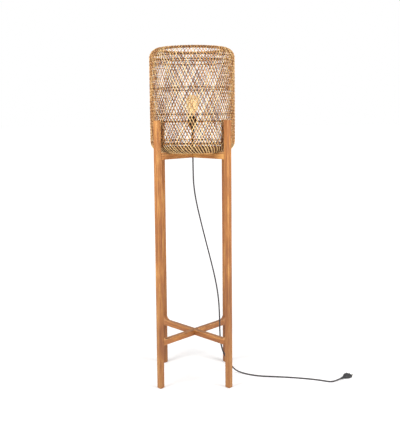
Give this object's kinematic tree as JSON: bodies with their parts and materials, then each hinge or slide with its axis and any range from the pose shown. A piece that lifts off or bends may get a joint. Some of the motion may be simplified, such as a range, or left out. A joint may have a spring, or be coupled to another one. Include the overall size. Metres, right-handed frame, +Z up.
{
  "type": "floor lamp",
  "caption": "Tall floor lamp with a crossed wooden stand on straight legs, an open woven drum shade between the leg tops, an E27 lampholder with bulb, and a mains cord.",
  "frame": {"origin": "on the floor, on the lamp's vertical axis", "axes": "+Z up, +X to the right as seen from the front, +Y to the rear"},
  "size_m": [0.92, 0.382, 1.5],
  "materials": {
    "teak": "oiled teak, satin",
    "beech": "raw",
    "nylon": "matte",
    "zinc_steel": "zinc plated",
    "black_metal": "satin black",
    "black_plastic": "satin",
    "porcelain": "glazed",
    "brass": "bright",
    "nickel": "nickel plated",
    "solder": "dull",
    "black_rubber": "matte",
    "plug_plastic": "fine matte",
    "cord_sheath": "woven dark grey cover",
    "black_glass": "glossy",
    "amber_glass": "clear amber",
    "clear_glass": "clear",
    "filament": "warm, glowing when lit",
    "rattan": "natural rattan, satin",
    "rattan_rim": "natural rattan, satin"
  },
  "bodies": {
    "stand": {"leg_front_left": "teak", "leg_front_right": "teak", "leg_rear_left": "teak", "leg_rear_right": "teak", "foot_pads": "nylon", "top_rail_a": "teak", "top_rail_b": "teak", "low_rail_a": "teak", "low_rail_b": "teak", "top_dowels": "beech", "low_dowels": "beech", "lap_screw": "zinc_steel", "stem_tube": "black_metal", "stem_plate": "black_metal", "plate_screws": "zinc_steel", "stem_nut_upper": "zinc_steel", "stem_nut_lower": "zinc_steel", "stem_washer": "zinc_steel", "cord_bush": "black_rubber", "holder_cap": "black_plastic", "grip_screw": "zinc_steel", "holder_skirt": "black_plastic", "holder_insert": "porcelain", "terminal_screws": "zinc_steel", "holder_shell": "brass", "centre_contact": "brass", "lead_inner": "cord_sheath", "power_cord": "cord_sheath", "plug_relief": "black_rubber", "plug_body": "plug_plastic", "plug_pins": "nickel"},
    "bulb": {"bulb_cap": "nickel", "bulb_insulator": "black_glass", "bulb_tip": "solder", "bulb_glass": "amber_glass", "bulb_stem": "clear_glass", "bulb_filaments": "filament"},
    "shade": {"shade_weave": "rattan", "shade_hoop_1": "rattan", "shade_hoop_2": "rattan", "shade_hoop_3": "rattan", "shade_hoop_4": "rattan", "shade_hoop_5": "rattan", "shade_hoop_6": "rattan", "shade_hoop_7": "rattan", "shade_top_ring": "rattan", "rim_binding": "rattan_rim", "shade_base_ring": "rattan"}
  },
  "joints": [
    {"name": "shade_lift", "type": "slide", "parent": "stand", "child": "shade", "axis": [0, 0, 1], "range_m": [0, 0.16]},
    {"name": "bulb_unscrew", "type": "slide", "parent": "stand", "child": "bulb", "axis": [0, 0, 1], "range_m": [0, 0.03]}
  ]
}
